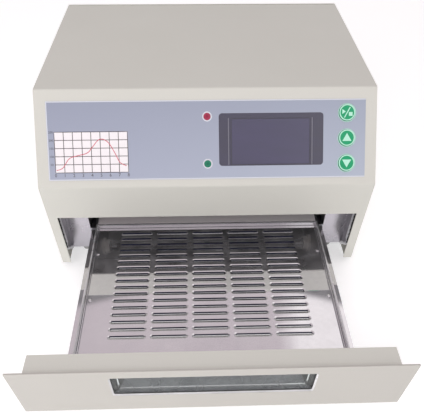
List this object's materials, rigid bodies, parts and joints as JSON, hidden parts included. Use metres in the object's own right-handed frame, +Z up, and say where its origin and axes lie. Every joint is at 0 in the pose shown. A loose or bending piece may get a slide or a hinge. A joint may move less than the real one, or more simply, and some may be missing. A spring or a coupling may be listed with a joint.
{
  "type": "infrared reflow oven",
  "caption": "Bench infrared reflow oven with a sloping control panel and a slotted tray on a pull-out drawer with a window",
  "frame": {"origin": "under the middle of the box round the open oven, on the surface that the feet stand on", "axes": "+X to the operator's right, +Y from the drawer to the rear panel, +Z up"},
  "size_m": [0.31, 0.4362, 0.17],
  "materials": {
    "housing_paint": "warm light grey powder coat, fine texture",
    "bulkhead_sheet": "satin steel sheet, bare",
    "zinc_steel": "zinc plated sheet",
    "stainless": "mill finish stainless sheet",
    "polished_stainless": "mirror polished stainless sheet",
    "screw_steel": "nickel plated screws",
    "rubber": "moulded light grey rubber",
    "ceramic_wool": "ceramic fibre blanket",
    "quartz_glass": "clear quartz",
    "heater_wire": "oxidised resistance wire",
    "ceramic": "unglazed white ceramic",
    "overlay_film": "printed film, pale metallic blue grey",
    "display_window": "smoked clear window",
    "display_screen": "unlit display",
    "circuit_board": "green solder mask",
    "red_lens": "red lamp lens",
    "green_lens": "green lamp lens",
    "key_green": "green key with a pale ring",
    "black_plastic": "moulded black plastic",
    "brass": "plain brass",
    "transformer_iron": "varnished laminations",
    "black_aluminium": "black anodised",
    "capacitor_sleeve": "dark blue sleeve",
    "terminal_green": "green moulding",
    "guard_wire": "bright plated wire",
    "window_glass": "clear glass"
  },
  "bodies": {
    "housing": {"top_front_shell": "housing_paint", "side_panel_left": "housing_paint", "side_panel_right": "housing_paint", "rear_panel": "housing_paint", "base_pan": "zinc_steel", "front_bulkhead": "bulkhead_sheet", "rubber_feet": "rubber", "foot_screws": "screw_steel", "side_screws": "screw_steel", "rear_screws": "screw_steel", "rail_left": "zinc_steel", "rail_right": "zinc_steel", "chamber_shell": "stainless", "chamber_floor": "stainless", "rear_baffle": "stainless", "insulation_wool": "ceramic_wool", "quartz_tubes": "quartz_glass", "heating_coils": "heater_wire", "ceramic_end_caps": "ceramic", "temperature_probes": "stainless", "panel_overlay": "overlay_film", "lcd_window": "display_window", "lcd_module": "display_screen", "control_board": "circuit_board", "board_studs": "zinc_steel", "red_lamp": "red_lens", "green_lamp": "green_lens", "key_switches": "black_plastic", "electronics_deck": "zinc_steel", "power_board": "circuit_board", "board_spacers": "brass", "transformer": "transformer_iron", "heat_sink": "black_aluminium", "capacitors": "capacitor_sleeve", "terminal_block": "terminal_green", "fan_frame": "black_plastic", "fan_guard": "guard_wire", "fan_screws": "screw_steel", "inlet_body": "black_plastic", "inlet_pins": "brass", "switch_frame": "black_plastic"},
    "drawer": {"drawer_plate": "housing_paint", "drawer_box": "housing_paint", "window_glass": "window_glass", "window_liner": "polished_stainless", "inner_pane": "window_glass", "tray": "polished_stainless", "tray_rivets": "polished_stainless"},
    "start_key": {"key_start": "key_green"},
    "up_key": {"key_up": "key_green"},
    "down_key": {"key_down": "key_green"},
    "rotor": {"fan_rotor": "black_plastic"},
    "rocker": {"switch_rocker": "black_plastic"}
  },
  "joints": [
    {"name": "drawer_slide", "type": "slide", "parent": "housing", "child": "drawer", "axis": [0, 1, 0], "range_m": [0, 0.171]},
    {"name": "start_key_press", "type": "slide", "parent": "housing", "child": "start_key", "axis": [0, 0.7314, -0.6819], "range_m": [0, 0.0006], "stiffness_N_per_m": 700},
    {"name": "up_key_press", "type": "slide", "parent": "housing", "child": "up_key", "axis": [0, 0.7314, -0.6819], "range_m": [0, 0.0006], "stiffness_N_per_m": 700},
    {"name": "down_key_press", "type": "slide", "parent": "housing", "child": "down_key", "axis": [0, 0.7314, -0.6819], "range_m": [0, 0.0006], "stiffness_N_per_m": 700},
    {"name": "fan_spin", "type": "hinge", "parent": "housing", "child": "rotor", "pos_m": [0, 0.2, 0.058], "axis": [0, 1, 0], "continuous": true},
    {"name": "rocker_tilt", "type": "hinge", "parent": "housing", "child": "rocker", "pos_m": [-0.062, 0.2113, 0.136], "axis": [1, 0, 0], "range_deg": [-18, 0]}
  ]
}
